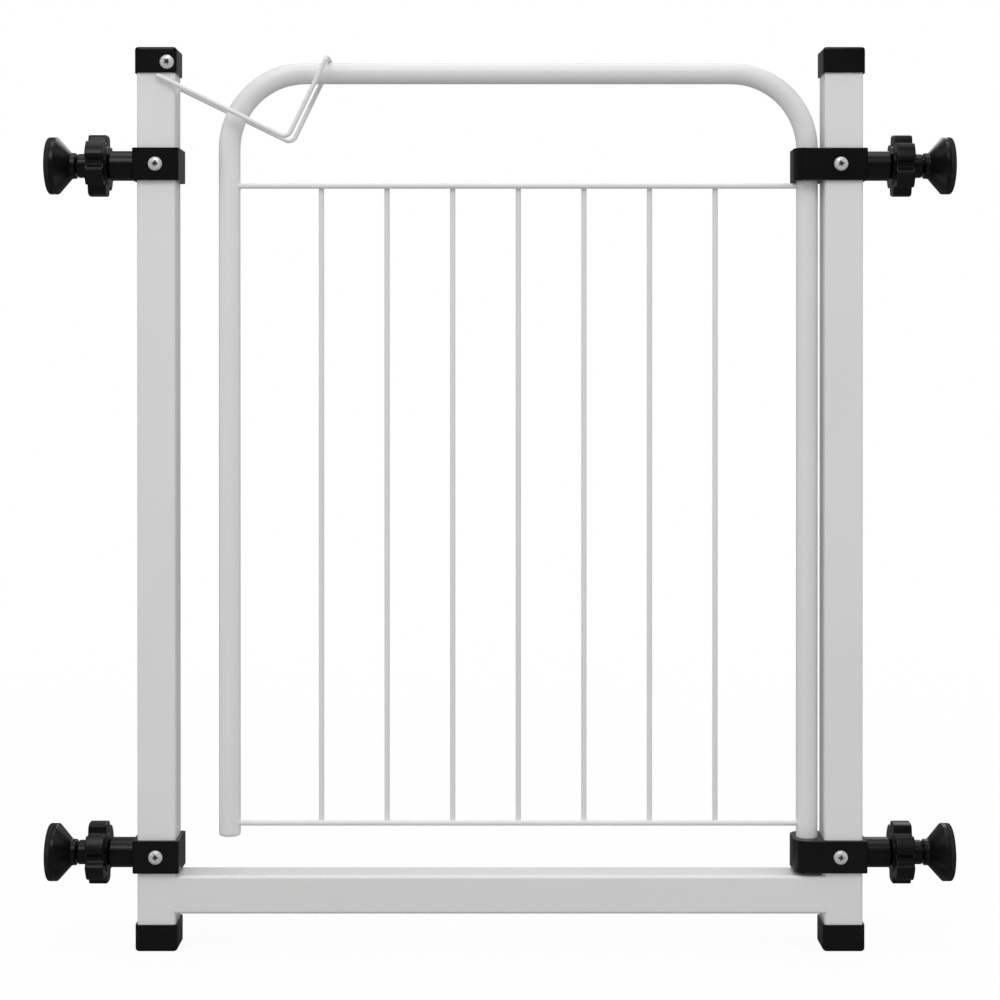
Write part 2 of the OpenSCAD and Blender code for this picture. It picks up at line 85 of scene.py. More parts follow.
def centre(node):
    low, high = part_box(node)
    return (low + high) / 2


def size(node):
    low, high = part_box(node)
    return high - low


def add_object(name, data):
    """Puts a new object in the scene, at the origin."""
    thing = bpy.data.objects.new(name, data)
    bpy.context.scene.collection.objects.link(thing)
    return thing


# Shader and geometry sockets


def own_maths(operation):
    """A method that adds a Math node with the wire itself in the first socket."""
    return lambda self, *others: self.node("ShaderNodeMath", dict(enumerate((self, *others))),
                                           operation=operation)


def reflected(operation):
    """A method that adds a Math node with the wire itself in the second socket."""
    return lambda self, first: self.node("ShaderNodeMath", {0: first, 1: self}, operation=operation)


class Wire:
    """An output socket of a node tree, or with no socket the bare tree. Python arithmetic on it adds
    Math nodes."""

    __add__ = __radd__ = own_maths("ADD")
    __sub__, __rsub__ = own_maths("SUBTRACT"), reflected("SUBTRACT")
    __mul__ = __rmul__ = own_maths("MULTIPLY")
    __truediv__, __rtruediv__ = own_maths("DIVIDE"), reflected("DIVIDE")
    __mod__ = own_maths("FLOORED_MODULO")
    __pow__ = own_maths("POWER")
    __gt__ = own_maths("GREATER_THAN")
    __lt__ = own_maths("LESS_THAN")
    __abs__ = own_maths("ABSOLUTE")
    __round__ = own_maths("ROUND")
    at_least = own_maths("MAXIMUM")
    at_most = own_maths("MINIMUM")
    sine = own_maths("SINE")
    cosine = own_maths("COSINE")
    root = own_maths("SQRT")

    def __init__(self, tree, socket=None):
        self.tree, self.socket = tree, socket

    def __neg__(self):
        return self * -1.0

    def node(self, kind, inputs=None, output=0, **settings):
        """Adds one node: its settings first, then its sockets' values or wires, with a list where several
        wires go into one socket. Gives the wire of one output."""
        made = self.tree.nodes.new(kind)
        for key, value in settings.items():
            setattr(made, key, value)
        for key, value in (inputs or {}).items():
            for each in value if isinstance(value, list) else [value]:
                if isinstance(each, Wire):
                    self.tree.links.new(each.socket, made.inputs[key])
                else:
                    made.inputs[key].default_value = each
        return Wire(self.tree, made.outputs[output] if made.outputs else None)

    def ramp(self, low, high):
        """0 below low, 1 above high, and smooth between them."""
        values = {"Value": self, "From Min": low, "From Max": high}
        return self.node("ShaderNodeMapRange", values, interpolation_type="SMOOTHSTEP")

    def noise(self, scale, detail=2.0, rough=0.5):
        """Noise at the place that the wire holds."""
        values = {"Vector": self, "Scale": scale, "Detail": detail, "Roughness": rough}
        return self.node("ShaderNodeTexNoise", values, "Fac")

    def stretched(self, *scale):
        """The wire's place with its axes scaled, for a pattern that is longer one way."""
        return self.node("ShaderNodeMapping", {"Vector": self, "Scale": scale})

    def blend(self, first, second):
        """Mixes two colours by the wire's value."""
        return self.node("ShaderNodeMix", {0: self, 6: first, 7: second}, 2, data_type="RGBA")

    def bump(self, depth, strength=1.0):
        """Normal of a surface raised by the wire's value times depth, in metres."""
        return self.node("ShaderNodeBump", {"Height": self, "Distance": depth, "Strength": strength})

    def axes(self):
        """The three axes of the wire's vector."""
        split = self.node("ShaderNodeSeparateXYZ", {0: self}).socket.node
        return [Wire(self.tree, end) for end in split.outputs]

    def place(self, x, y, z):
        """A vector of three wires or numbers."""
        return self.node("ShaderNodeCombineXYZ", {0: x, 1: y, 2: z})

    def position(self):
        """Where each point of a shape is."""
        return self.node("GeometryNodeInputPosition")

    def random(self, low, high, seed):
        return self.node("FunctionNodeRandomValue", {2: low, 3: high, 8: seed}, 1, data_type="FLOAT")

    def scaled(self, factor):
        return self.node("ShaderNodeVectorMath", {0: self, 3: factor}, operation="SCALE")

    def merged(self):
        return self.node("GeometryNodeMergeByDistance", {"Geometry": self, "Distance": SEAM})

    def realized(self):
        return self.node("GeometryNodeRealizeInstances", {"Geometry": self})

    def moved(self, place):
        return self.node("GeometryNodeSetPosition", {"Geometry": self, "Position": place})


def bare(owner):
    """The emptied node tree of a material or a world, as a bare wire."""
    owner.use_nodes = True
    owner.node_tree.nodes.clear()
    return Wire(owner.node_tree)


def new_finish(name):
    """A new material, and the coordinates of the piece that it covers."""
    material = bpy.data.materials.new(name)
    return material, bare(material).node("ShaderNodeTexCoord", output="Object")


def surface(here, **values):
    """Ends a finish in one Principled surface, with values or wires by the names of its sockets."""
    values = {key.replace("_", " "): value for key, value in values.items()}
    here.node("ShaderNodeOutputMaterial", {0: here.node("ShaderNodeBsdfPrincipled", values)})


def rgb(tone, scale=1.0):
    return (*(part * scale for part in tone), 1.0)


def grey(tone):
    return (tone, tone, tone, 1.0)


# Geometry trees


def new_tree(name, **inputs):
    """A Geometry Nodes tree whose first input is the host's own mesh. Gives its bare wire, and the wires
    of its inputs by name."""
    tree = bpy.data.node_groups.new(name, "GeometryNodeTree")
    tree.interface.new_socket("Geometry", in_out="OUTPUT", socket_type="NodeSocketGeometry")
    for label, kind in {"Host": "Geometry", **inputs, "Finish": "Material"}.items():
        tree.interface.new_socket(label, in_out="INPUT", socket_type=f"NodeSocket{kind}")
    ends = tree.nodes.new("NodeGroupInput").outputs
    return Wire(tree), {end.name: Wire(tree, end) for end in ends if end.name}


def end_tree(shape, material, sharp=35):
    """Closes seams, keeps edges over the sharp angle, in degrees, hard, and ends the tree."""
    smooth = shape.node("GeometryNodeInputMeshEdgeAngle") < math.radians(sharp)
    shaded = {"Geometry": shape.merged(), "Shade Smooth": smooth}
    shape = shape.node("GeometryNodeSetShadeSmooth", shaded, domain="EDGE").realized()
    shape = shape.node("GeometryNodeSetMaterial", {"Geometry": shape, "Material": material})
    shape.node("NodeGroupOutput", {0: shape})
    return shape.tree


def sheet(here, across, along):
    """A flat grid one metre square, to be rolled into a turned shape."""
    return here.node("GeometryNodeMeshGrid", {"Vertices X": across, "Vertices Y": along})


def rolled(here):
    """The angle that a point of a sheet is rolled to, and how far along the shape it lies, from 0 to 1."""
    x, y, _ = here.position().axes()
    return (x + 0.5) * math.tau, y + 0.5


def sweep(path, sides, radius, scale=1.0):
    """Round wire of one radius along a path, with its ends closed."""
    circle = {"Resolution": sides, "Radius": radius}
    ring = path.node("GeometryNodeCurvePrimitiveCircle", circle, mode="RADIUS")
    values = {"Curve": path, "Profile Curve": ring, "Scale": scale, "Fill Caps": True}
    return path.node("GeometryNodeCurveToMesh", values)


def host_mesh(points, edges=()):
    """A mesh of bare points and edges, for a tree to work on."""
    mesh = bpy.data.meshes.new("host")
    mesh.from_pydata(points, edges, [])
    return mesh


def path_mesh(rows, closed=False):
    """A host mesh whose edges join the points of each row, and its last point to its first where it is
    closed."""
    points, edges = [], []
    for row in rows:
        places = range(len(points), len(points) + len(row))
        edges += zip(places, places[1:])
        if closed:
            edges.append((places[-1], places[0]))
        points += row
    return host_mesh(points, edges)


def settle(piece, body, replaces):
    """Lets a piece ride on one body and stand for the nodes it replaces, which it hides."""
    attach(piece, body)
    if replaces:
        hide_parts(*replaces)


def grow(name, tree, host, kind, body, replaces=(), **values):
    """Runs a tree on a host mesh and keeps the result as a piece with a plain mesh."""
    piece = add_object(name, host)
    modifier = piece.modifiers.new(name, "NODES")
    modifier.node_group = tree
    values["Finish"] = finish(kind)
    for socket in tree.interface.items_tree:
        if socket.in_out == "INPUT" and socket.name in values:
            modifier[socket.identifier] = values[socket.name]
    grown = piece.evaluated_get(bpy.context.evaluated_depsgraph_get())
    mesh = bpy.data.meshes.new_from_object(grown)
    piece.modifiers.clear()
    piece.data = mesh
    mesh.name = name
    if not mesh.polygons:
        raise RuntimeError(f"{name} came out empty")
    settle(piece, body, replaces)


def rounded(corners):
    """Points of an outline through (radius, notch depth, height, rounding) corners."""
    points = []
    for i, (radius, notch, height, rounding) in enumerate(corners):
        if not rounding:
            points.append((radius, notch, height))
            continue
        corner = Vector((radius, height))
        # Every other number of a corner is its radius and its height
        before = (Vector(corners[i - 1][::2]) - corner).normalized()
        after = (Vector(corners[i + 1][::2]) - corner).normalized()
        half = before.angle(after) / 2
        middle = corner + (before + after).normalized() * rounding / math.sin(half)
        start = corner + before * rounding / math.tan(half) - middle
        sweep_angle = start.angle_signed(corner + after * rounding / math.tan(half) - middle)
        for step in range(EDGE_STEPS + 1):
            spot = middle + Matrix.Rotation(-sweep_angle * step / EDGE_STEPS, 2) @ start
            points.append((spot.x, notch, spot.y))
    return points


def skin(name, rings, kind, body, replaces=()):
    """Makes a piece of a closed mesh through rings of equally many points, its two ends capped."""
    shape = bmesh.new()
    rows = [[shape.verts.new(point) for point in ring] for ring in rings]
    for low, high in zip(rows, rows[1:]):
        for i in range(len(low)):
            shape.faces.new((low[i - 1], low[i], high[i], high[i - 1]))
    for row in (rows[0], rows[-1]):
        shape.faces.new(row)
    bmesh.ops.recalc_face_normals(shape, faces=shape.faces)
    for face in shape.faces:
        face.smooth = True
    for edge in shape.edges:
        edge.smooth = edge.calc_face_angle() < SKIN_SHARP
    mesh = bpy.data.meshes.new(name)
    shape.to_mesh(mesh)
    shape.free()
    mesh.materials.append(finish(kind))
    settle(add_object(name, mesh), body, replaces)


def arc(start, stop, step):
    """The cosine and sine of each angle from start to stop, in degrees."""
    turns = [math.radians(turn) for turn in range(start, stop + (1 if step > 0 else -1), step)]
    return [(math.cos(turn), math.sin(turn)) for turn in turns]


def rounded_square(middle, half, corner, z):
    """A ring of points round a square with rounded corners, level at z."""
    flat = half - corner
    return [(middle.x + x * flat + corner * cos, middle.y + y * flat + corner * sin, z)
            for quarter, (x, y) in enumerate(((1, 1), (-1, 1), (-1, -1), (1, -1)))
            for cos, sin in arc(90 * quarter, 90 * quarter + 90, CAP_STEP)]


# Settings that a user would change


def number(name, description, default, low, high, **kind):
    return FloatProperty(name=name, description=description, default=default, min=low, max=high, **kind)


def length(name, description, default, low, high):
    """A size in metres."""
    return number(name, description, default, low, high, subtype="DISTANCE", unit="LENGTH")


def colour(name, description, default):
    return FloatVectorProperty(name=name, description=description, default=default, min=0, max=1,
                               subtype="COLOR", size=3)


class PaintSettings(PropertyGroup):
    tone: colour("Paint colour", "Colour of the powder coat", (0.86, 0.86, 0.855))
    gloss: number("Gloss", "Gloss of the powder coat, from matt to mirror", 0.66, 0, 1, subtype="FACTOR")
    peel: length("Orange peel", "Width of the ripples in the powder coat", 0.0016, 0.0002, 0.01)


class PlasticSettings(PropertyGroup):
    tone: colour("Plastic colour", "Colour of the moulded brackets, caps, nuts and cups",
                 (0.0045, 0.0047, 0.0048))
    gloss: number("Gloss", "Gloss of the moulded plastic, from matt to mirror", 0.74, 0, 1, subtype="FACTOR")
    grain: length("Mould grain", "Width of the fine grain left by the mould", 0.0007, 0.0001, 0.005)
    plug: colour("Leg plug colour", "Colour of the plugs under the door's legs", (0.76, 0.76, 0.75))
    rubber: colour("Rubber colour", "Colour of the wall pads", (0.013, 0.013, 0.013))


class ZincSettings(PropertyGroup):
    tone: colour("Zinc colour", "Colour of the plated screws", (1.0, 1.0, 1.0))
    # Colour of the painted shade in the screws' cross recesses
    recess_shade: colour("Recess colour", "Colour of the screws' oily recesses", (0.10, 0.10, 0.095))


class ScrewSettings(PropertyGroup):
    recess: length("Recess", "Length of the cross recess over its arms", 0.0052, 0.001, 0.01)
    arm: length("Arm width", "Width of an arm of the cross recess", 0.0021, 0.0003, 0.003)
    depth: length("Recess depth", "Depth of the cross recess", 0.0025, 0.0003, 0.003)
    shank: length("Shank", "Diameter of the screw's thread", 0.0039, 0.002, 0.008)
    pitch: length("Pitch", "Distance between turns of the screw's thread", 0.0014, 0.0005, 0.003)
    dome: length("Head height", "Height of the screw's domed head", 0.0028, 0.001, 0.006)
    seed: IntProperty(name="Seed", description="Chooses how far each screw is turned", default=7, min=0)


class AdjusterSettings(PropertyGroup):
    wheel: length("Wheel width", "Width of the hand nut's lobed wheel", 0.0145, 0.005, 0.03)
    flange: length("Flange", "Thickness of the hand nut's thrust flange", 0.0009, 0.0005, 0.005)
    flange_radius: length("Flange radius", "Radius of the hand nut's thrust flange", 0.015, 0.008, 0.02)
    hub: length("Hub radius", "Radius of the hand nut's hub", 0.0095, 0.008, 0.015)
    bore: length("Bore radius", "Radius of the hand nut's bore", 0.0061, 0.003, 0.01)
    lobes: IntProperty(name="Lobes", description="Number of lobes round the hand nut", default=6,
                       min=3, max=12)
    notch: length("Notch depth", "Depth of the notches between the lobes", 0.005, 0.001, 0.01)
    spread: number("Notch spread", "Angle from a notch's middle to its lip", math.radians(16.2), 0.05, 0.5,
                   subtype="ANGLE", unit="ROTATION")
    turns: FloatVectorProperty(
        name="Nut turns", description="How far each hand nut is turned down from a notch in front: "
        "upper left, lower left, upper right, lower right", unit="ROTATION", size=4, min=-math.pi,
        max=math.pi, default=[math.radians(turn) for turn in (-3.4, 3.0, 3.8, 3.8)])
    edge: length("Moulded edge", "Rounding of the moulded edges", 0.0010, 0.0002, 0.003)
    pitch: length("Thread pitch", "Distance between turns of the spindle's thread", 0.004, 0.001, 0.008)
    thread: length("Thread depth", "Depth of the spindle's thread", 0.0010, 0.0002, 0.002)
    wall: length("Cup wall", "Wall of the wall cup", 0.003, 0.001, 0.005)
    collar: length("Collar radius", "Radius of the wall cup's collar", 0.01025, 0.008, 0.015)
    collar_length: length("Collar length", "Length of the wall cup's collar", 0.0036, 0.001, 0.01)
    rim: length("Rim width", "Width of the wall cup's rim", 0.0033, 0.001, 0.01)


class CapSettings(PropertyGroup):
    corner: length("Upright corner", "Radius of a cap's upright corners", 0.00355, 0.001, 0.008)
    edge: length("End edge", "Rounding of the edges round a cap's closed end", 0.0024, 0.0002, 0.0035)
    wall: length("Side wall", "Wall of a cap's sides", 0.00135, 0.0005, 0.0022)
    end: length("End wall", "Wall of a cap's closed end", 0.003, 0.0005, 0.005)


class LatchSettings(PropertyGroup):
    wire: length("Wire", "Diameter of the latch's wire", 0.0036, 0.002, 0.006)
    riser: length("Riser", "Length from the latch's elbow up to its crossbar", 0.0709, 0.055, 0.08)
    elbow: length("Elbow bend", "Bend radius of the elbows, on the wire's centre line", 0.0058, 0.003, 0.015)
    corner: length("Corner bend", "Bend radius of the other corners, on the wire's centre line",
                   0.0037, 0.003, 0.008)
    pivot: length("Pivot end", "Distance from the post's middle to where the wire's ends stop",
                  0.0118, 0.002, 0.015)


class WeldSettings(PropertyGroup):
    bead: length("Bead", "Radius of the weld beads between the rail and the posts", 0.0013, 0.0003, 0.003)
    small: length("Small bead", "Radius of the weld beads round the crossbars' ends", 0.00065, 0.0002, 0.002)
    ripple: length("Ripple", "Distance between the ripples in a weld bead", 0.0016, 0.0003, 0.005)
    spot: FloatVectorProperty(name="Spot weld", description="Size of the spot welds: across, deep and up",
                              subtype="XYZ_LENGTH", unit="LENGTH", size=3, min=0.0005, max=0.006,
                              default=(0.0036, 0.0015, 0.0036))
    seed: IntProperty(name="Seed", description="Chooses the unevenness of the spot welds", default=3, min=0)


class StageSettings(PropertyGroup):
    distance: length("Camera distance", "Distance from the gate's middle to the camera", 1.6072, 0.5, 10)
    height: length("Camera height", "Height of the camera over the floor", 0.4623, 0.05, 3)
    lens: number("Lens", "Focal length of the camera", 73.07, 20, 200, subtype="DISTANCE_CAMERA")
    pitch: number("Camera pitch", "How far the camera looks down", 0.0036, 0, 0.6,
                  subtype="ANGLE", unit="ROTATION")
    key: number("Key light", "Power of the soft light high in front", 14.0, 0, 500, unit="POWER")
    side: number("Side lights", "Power of each soft light at the side", 15.0, 0, 500, unit="POWER")
    top: number("Top light", "Power of the soft light overhead", 11.5, 0, 500, unit="POWER")
    back: number("Back light", "Power of the soft light high behind", 14.0, 0, 500, unit="POWER")
    fill: number("Fill light", "Brightness of the even light from all round", 0.50, 0, 10)


# Finishes


def white_paint(place, paint):
    """Gloss powder coat: faint orange peel, soft drift of tone, and handling marks that only dull it."""
    drift = place.noise(7.0)
    peel = place.noise(1 / paint.peel, 1.0)
    nibs = place.noise(2600.0, 1.0).ramp(0.70, 0.80)
    marks = place.stretched(60.0, 60.0, 9.0).noise(3.0, 5.0, 0.7).ramp(0.60, 0.74)
    tone = drift.ramp(0.35, 0.65).blend(rgb(paint.tone, 0.975), rgb(paint.tone))
    tone = (marks * 0.10).blend(tone, rgb(paint.tone, 0.86))
    surface(place, IOR=1.5, Coat_Roughness=0.12, Base_Color=tone, Coat_Weight=0.22 - marks * 0.12,
            Roughness=1.0 - paint.gloss + (drift - 0.5) * 0.10 + marks * 0.12,
            Normal=(peel + nibs * 0.5).bump(0.000035))


def black_plastic(place, plastic):
    """Moulded black plastic: fine mould grain, slow flow marks, and pale rubbed places."""
    grain = place.noise(1 / plastic.grain, 2.0, 0.6)
    flow = place.stretched(25.0, 60.0, 60.0).noise(1.0, 3.0)
    rubs = place.noise(420.0, 4.0, 0.72).ramp(0.62, 0.78) * place.noise(45.0).ramp(0.5, 0.7)
    tone = flow.ramp(0.3, 0.7).blend(rgb(plastic.tone, 0.88), rgb(plastic.tone, 1.15))
    tone = (rubs * 0.5).blend(tone, rgb(plastic.tone, 4.0))
    surface(place, IOR=1.46, Base_Color=tone, Normal=grain.bump(0.00003, 0.8),
            Roughness=1.0 - plastic.gloss + (flow - 0.5) * 0.06 + grain * 0.08 - rubs * 0.08)


def plug_plastic(place, plastic):
    """White leg plugs: smoother than the paint, with scuffed undersides."""
    scuff = place.noise(260.0, 5.0, 0.75).ramp(0.52, 0.72)
    tone = (scuff * 0.35).blend(rgb(plastic.plug), rgb(plastic.plug, 0.72))
    surface(place, IOR=1.46, Base_Color=tone, Roughness=0.38 + scuff * 0.25,
            Normal=place.noise(1500.0).bump(0.00002))


def pad_rubber(place, plastic):
    """Wall pad rubber: matt, with fine pores and a dusty bloom."""
    bloom = place.noise(130.0, 4.0, 0.6).ramp(0.42, 0.72)
    tone = (bloom * 0.6).blend(rgb(plastic.rubber), rgb(plastic.rubber, 2.2))
    surface(place, IOR=1.45, Base_Color=tone, Roughness=0.72 + bloom * 0.2,
            Normal=place.noise(1800.0, 3.0, 0.65).bump(0.00006))


def bright_zinc(place, zinc):
    """Zinc plate: bright metal, clouded, with fine pits, and in the recess rougher and darkened by painted
    shade."""
    recess = place.node("ShaderNodeAttribute", output="Fac", attribute_name="recess")
    cloud = place.noise(700.0, 3.0, 0.65)
    tone = cloud.ramp(0.38, 0.62).blend(rgb(zinc.tone, 0.70), rgb(zinc.tone))
    # The recess is darkened towards the recess colour as painted shade
    surface(place, Metallic=0.36, Base_Color=recess.blend(tone, rgb(zinc.recess_shade)),
            Roughness=0.22 + cloud * 0.20 + recess * 0.2, Normal=place.noise(1500.0).bump(0.00008))


# Each finish's name in the file, what makes it, the settings that it takes, and the record's slot
FINISHES = {
    "paint": ("white_gloss_powder_coat", white_paint, "gate_paint", "white_paint"),
    "plastic": ("black_moulded_plastic", black_plastic, "gate_plastic", "black_plastic"),
    "plug": ("white_plug_plastic", plug_plastic, "gate_plastic", "white_plastic"),
    "rubber": ("black_pad_rubber", pad_rubber, "gate_plastic", "pad_rubber"),
    "zinc": ("bright_zinc_plate", bright_zinc, "gate_zinc", "zinc"),
}


def finish(kind):
    """A finish, made when it is first asked for."""
    name, make, settings, _ = FINISHES[kind]
    material = bpy.data.materials.get(name)
    if not material:
        material, place = new_finish(name)
        make(place, getattr(bpy.context.scene, settings))
    return material


def coat(nodes, kind):
    """Gives CAD nodes one finish."""
    for name in nodes:
        materials = frame["nodes"][name].data.materials
        materials.clear()
        materials.append(finish(kind))


# Adjusters


def side_of(corner):
    """Which way an adjuster points: -1 towards the left wall, 1 towards the right one."""
    return -1.0 if corner.endswith("left") else 1.0


def span_of(node):
    """Where a node on an adjuster's axis starts and stops, measured outwards from the gate's middle."""
    low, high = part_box(node)
    return sorted((abs(low.x), abs(high.x)))


def radius_of(node):
    """Radius of a round node that lies level."""
    return size(node).z / 2


def grow_on_axis(corner, label, node, part, tree, profile, **values):
    """Grows a turned piece on an adjuster's axis, on one of its two bodies and in place of one node."""
    place = centre(f"{corner}_{node}")
    grow(f"{corner}_{label}", tree, host_mesh(profile), "plastic", f"{corner}_{part}",
         [f"{corner}_{node}"], Side=side_of(corner), Axis=(0.0, place.y, place.z), **values)


def turned_tree(name, shape_radius, sharp=35, **inputs):
    """A tree that turns the host's profile on an adjuster's axis, with its height running out to the wall.
    The profile's points hold (radius, notch depth, height), and shape_radius changes the radius at an
    angle."""
    here, given = new_tree(name, Sides="Int", Side="Float", Axis="Vector", **inputs)
    profile, side = given["Host"], given["Side"]
    count = here.node("GeometryNodeAttributeDomainSize", {"Geometry": profile}, component="MESH")
    turn, along = rolled(here)
    found = {"Geometry": profile, "Value": here.position(), "Index": round(along * (count - 1))}
    point = here.node("GeometryNodeSampleIndex", found, data_type="FLOAT_VECTOR")
    radius, notch, height = point.axes()
    radius = shape_radius(given, radius, notch, height, turn)
    x, y, z = given["Axis"].axes()
    place = here.place(x + side * height, y + radius * turn.sine(), z - side * (radius * turn.cosine()))
    return end_tree(sheet(here, given["Sides"] + 1, count).moved(place), given["Finish"], sharp)


def notched(given, radius, notch, height, turn):
    """Radius with soft notches round it, where the profile has a notch depth."""
    step = math.tau / given["Notches"]
    away = abs(((turn - given["Turn"]) / step) % 1.0 - 0.5) * step
    return radius - notch * (1 - away.ramp(given["Spread"] * 0.18, given["Spread"]))


def notched_tree():
    """A tree that makes the hand nuts and the cups."""
    return turned_tree("moulded_turning", notched, Notches="Int", Spread="Float", Turn="Float")


def thread_wave(height, turn, pitch):
    """How deep a thread is cut at a place: 0 on the crest, 1 at the root."""
    phase = abs((height / pitch - turn / math.tau) % 1.0 - 0.5)
    return (phase * 2).ramp(0.36, 0.70)


def threaded(given, radius, cut, height, turn):
    """Radius with a screw thread cut in it, as far as the profile says."""
    return radius - given["Depth"] * thread_wave(height, turn, given["Pitch"]) * cut


def nut_profile(corner, parts):
    """Outline of a hand nut: thrust flange, lobed wheel and hub round a bore."""
    start, stop = span_of(f"{corner}_hand_nut")
    rim = radius_of(f"{corner}_hand_nut")
    bore, hub, flange, edge = parts.bore, parts.hub, parts.flange_radius, parts.edge
    face = start + parts.flange
    back = face + parts.wheel
    slope = 0.0015  # Between the wheel's back and the hub
    lead = edge * 0.7  # Chamfer at both mouths of the bore
    return rounded([
        (bore + lead, 0, start, 0), (flange, 0, start, edge * 0.6), (flange, 0, face, 0),
        (rim, parts.notch, face, edge), (rim, parts.notch, back, edge), (hub + slope, 0, back, 0),
        (hub, 0, back + slope, 0), (hub, 0, stop, edge), (bore + lead, 0, stop, 0),
        (bore, 0, stop - lead, 0), (bore, 0, start + lead, 0), (bore + lead, 0, start, 0)])


def spindle_profile(corner, step):
    """Outline of a spindle, in short steps for its thread. The middle number is how much of the thread
    is cut."""
    start, stop = span_of(f"{corner}_spindle")
    radius = radius_of(f"{corner}_spindle")
    chamfer = 0.0012
    length_cut = stop - start - 2 * chamfer
    count = round(length_cut / step)
    heights = [start + chamfer + length_cut * i / count for i in range(count + 1)]
    return ([(0, 0, start), (radius - chamfer, 0, start)] + [(radius, 1, height) for height in heights]
            + [(radius - chamfer, 0, stop), (0, 0, stop)])


def cup_profile(corner, parts):
    """Outline of a wall cup: collar, cone and rim, its socket for the spindle and the hollow behind its
    pad."""
    start, stop = span_of(f"{corner}_cup")
    rim = radius_of(f"{corner}_cup")
    socket = radius_of(f"{corner}_spindle") + 0.00005  # With a gap round the spindle
    bottom = span_of(f"{corner}_spindle")[1]
    seat = span_of(f"{corner}_wall_pad")[0] - 0.0001  # With a gap behind the pad
    floor = bottom + parts.wall / 2
    collar, edge = parts.collar, parts.edge
    cone = start + parts.collar_length
    slope = (rim - collar) / (stop - parts.rim - cone)
    hollow = rim - parts.wall
    return rounded([
        (0, 0, bottom, 0), (socket, 0, bottom, 0), (socket, 0, start, edge * 0.4),
        (collar, 0, start, edge * 0.8), (collar, 0, cone, edge * 1.5),
        (rim, 0, stop - parts.rim, edge * 1.5), (rim, 0, stop, edge * 0.5),
        (hollow, 0, stop, edge * 0.2), (hollow, 0, seat, 0),
        (hollow - slope * (seat - floor), 0, floor, 0), (0, 0, floor, 0)])


# Screws


def screw_head(here, given):
    """A domed head with a tapered cross recess, which its points mark for the finish."""
    turn, along = rolled(here)
    # A dome that is nearly flat on top and steep at its rim, then over the last fifth its flat underside
    lean = (along * 1.25).at_most(1.0) * (math.pi / 2)
    under = ((along - 0.8) * 5).at_least(0.0)
    radius = given["Head"] * (lean.sine() ** 0.86) * (1 - under)
    rise = given["Dome"] * (lean.cosine().at_least(0.0) ** 0.80)
    place = here.place(-radius * turn.cosine(), radius * turn.sine(), rise)
    head = sheet(here, *HEAD_GRID).moved(place)
    # Two crossed blocks that narrow downwards
    arms = []
    for width, breadth in (("Recess", "Arm"), ("Arm", "Recess")):
        x, y, z = here.position().axes()
        taper = 0.45 + (z + 0.5) * 0.62
        place = here.place(x * given[width] * taper, y * given[breadth] * taper,
                           given["Dome"] + (z - 0.42) * given["Depth"])
        arms.append(here.node("GeometryNodeMeshCube").moved(place))
    cut = {"Mesh 1": head.merged(), "Mesh 2": arms}
    head = here.node("GeometryNodeMeshBoolean", cut, "Mesh", operation="DIFFERENCE", solver="EXACT")
    # Points of the recess lie deeper than the dome would at their distance from the middle
    x, y, z = here.position().axes()
    out = (x * x + y * y) ** 0.5 / given["Head"]
    dome = given["Dome"] * ((1 - out ** 2.33).at_least(0.0) ** 0.4)
    inside = (z > 0.0001) * (out * given["Head"] < given["Recess"] * 0.6)
    # How deep a point is sunk in the recess, which the finish darkens as painted shade
    sunk = (dome - z).ramp(0.0001, given["Depth"] * 0.4) * inside
    mark = {"Geometry": head, "Name": "recess", "Value": sunk}
    return here.node("GeometryNodeStoreNamedAttribute", mark, data_type="FLOAT", domain="POINT")


def screw_shank(here, given):
    """A threaded shank, closed at both ends, that comes to a point over its last quarter."""
    turn, along = rolled(here)
    height = along * given["Length"]
    point = (1 - (along - 0.75) * 4).at_most(1.0)
    ends = (along > 0.001) * (along < 0.999)
    reach = given["Shank"] * point * (1 - 0.24 * thread_wave(height, turn, given["Pitch"])) * ends
    place = here.place(reach * turn.cosine(), -reach * turn.sine(), -height)
    return sheet(here, *SHANK_GRID).moved(place)


def screw_tree():
    """Pan-head screws, one at each host point, each turned at random."""
    sizes = ("Head", "Dome", "Length", "Shank", "Pitch", "Recess", "Arm", "Depth")
    here, given = new_tree("cross_head_screws", **dict.fromkeys(sizes, "Float"), Seed="Int")
    parts = [screw_head(here, given), screw_shank(here, given)]
    screw = here.node("GeometryNodeJoinGeometry", {0: parts})
    forward = here.place(math.pi / 2, 0.0, 0.0)
    spots = {"Points": given["Host"], "Instance": screw, "Rotation": forward}
    placed = here.node("GeometryNodeInstanceOnPoints", spots)
    twist = here.place(0.0, 0.0, here.random(0.0, math.pi, given["Seed"]))
    twisted = {"Instances": placed, "Rotation": twist, "Local Space": True}
    placed = here.node("GeometryNodeRotateInstances", twisted)
    return end_tree(placed.realized(), given["Finish"], sharp=40)


# Welds and wire


def bead_tree():
    """Weld beads that follow the host's edges, with the ripples that a torch leaves."""
    here, given = new_tree("ripple_beads", Radius="Float", Ripple="Float")
    path = here.node("GeometryNodeMeshToCurve", {"Mesh": given["Host"]})
    steps = {"Curve": path, "Length": given["Ripple"] / RIPPLE_STEPS}
    path = here.node("GeometryNodeResampleCurve", steps, mode="LENGTH")
    along = here.node("GeometryNodeSplineParameter", output="Length")
    uneven = here.position().noise(420.0)
    scale = 0.94 + (along / given["Ripple"] * math.tau).sine() * 0.07 + (uneven - 0.5) * 0.5
    return end_tree(sweep(path, 12, given["Radius"], scale), given["Finish"], sharp=70)


